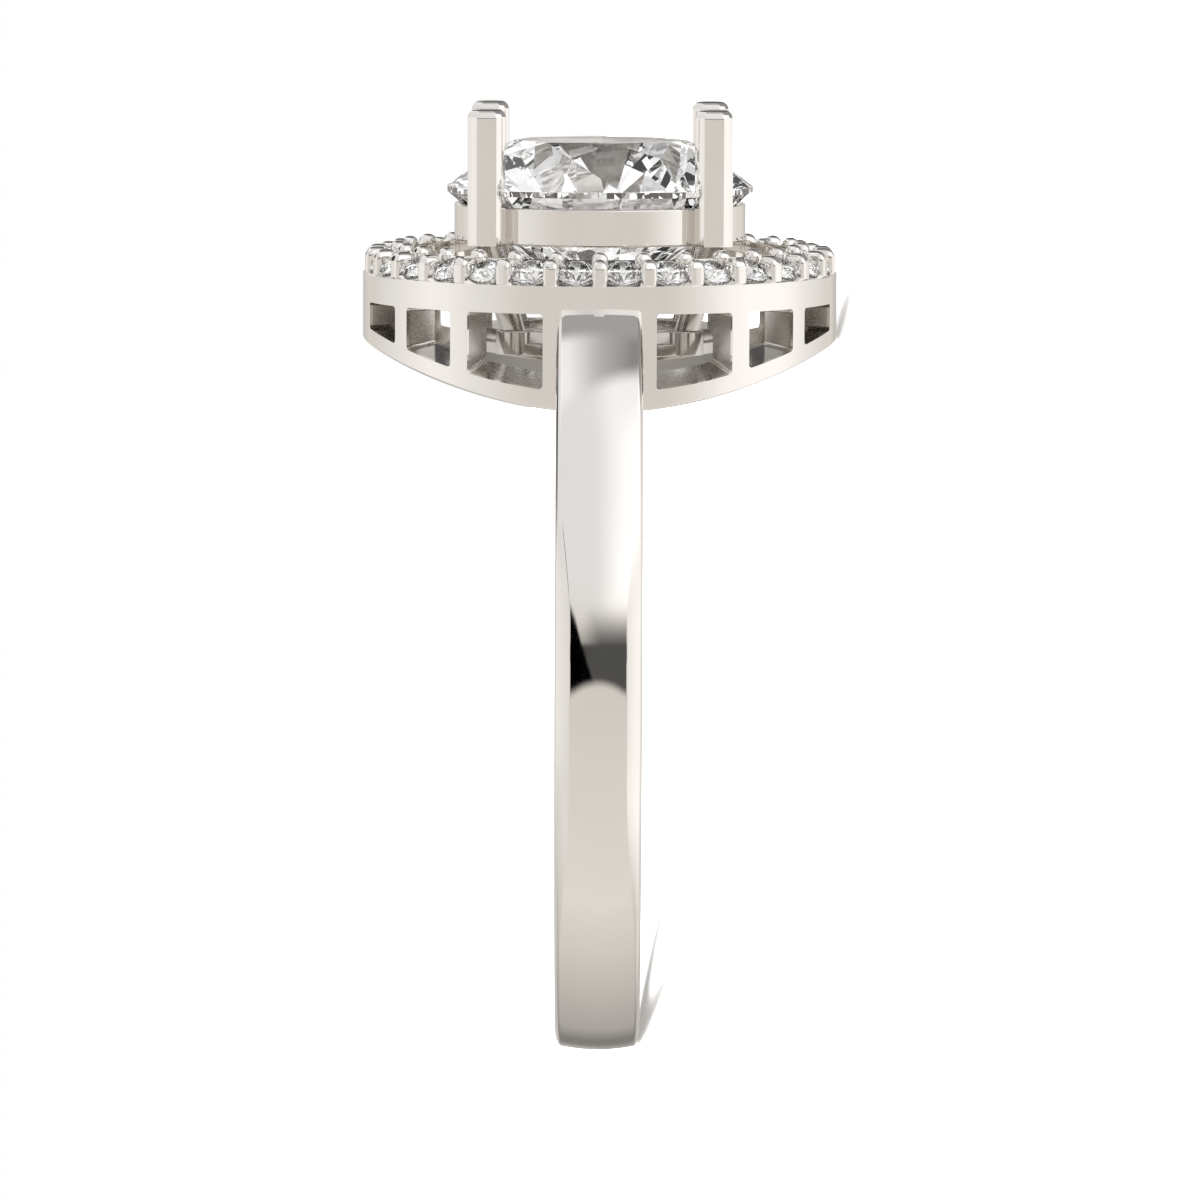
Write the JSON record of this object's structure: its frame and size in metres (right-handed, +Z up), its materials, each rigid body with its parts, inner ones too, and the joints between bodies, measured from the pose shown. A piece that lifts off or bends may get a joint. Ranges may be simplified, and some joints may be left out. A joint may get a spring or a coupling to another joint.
{
  "type": "halo engagement ring",
  "caption": "Finger ring with a tall pronged round centre stone over a halo of small claw-set stones, on a pierced round gallery and a plain, nearly flat shank.",
  "frame": {"origin": "on the floor, under the middle of the ring's length and width, as the ring lies on its side", "axes": "+X from the shank towards the head, +Z up from the floor the ring lies on, Y across the ring; the finger axis leans 15.5 degrees from -Z towards +X"},
  "size_m": [0.025, 0.0218, 0.0125],
  "materials": {
    "white_metal": "polished warm white gold",
    "centre_gem": "clear faceted gemstone",
    "halo_gem": "clear faceted gemstone"
  },
  "bodies": {
    "root": {"ring_mounting": "white_metal", "centre_stone": "centre_gem", "halo_stone_01": "halo_gem", "halo_stone_02": "halo_gem", "halo_stone_03": "halo_gem", "halo_stone_04": "halo_gem", "halo_stone_05": "halo_gem", "halo_stone_06": "halo_gem", "halo_stone_07": "halo_gem", "halo_stone_08": "halo_gem", "halo_stone_09": "halo_gem", "halo_stone_10": "halo_gem", "halo_stone_11": "halo_gem", "halo_stone_12": "halo_gem", "halo_stone_13": "halo_gem", "halo_stone_14": "halo_gem", "halo_stone_15": "halo_gem", "halo_stone_16": "halo_gem", "halo_stone_17": "halo_gem", "halo_stone_18": "halo_gem", "halo_stone_19": "halo_gem", "halo_stone_20": "halo_gem", "halo_stone_21": "halo_gem", "halo_stone_22": "halo_gem", "halo_stone_23": "halo_gem", "halo_stone_24": "halo_gem", "halo_stone_25": "halo_gem", "halo_stone_26": "halo_gem", "halo_stone_27": "halo_gem", "halo_stone_28": "halo_gem", "halo_stone_29": "halo_gem", "halo_stone_30": "halo_gem"}
  },
  "joints": []
}
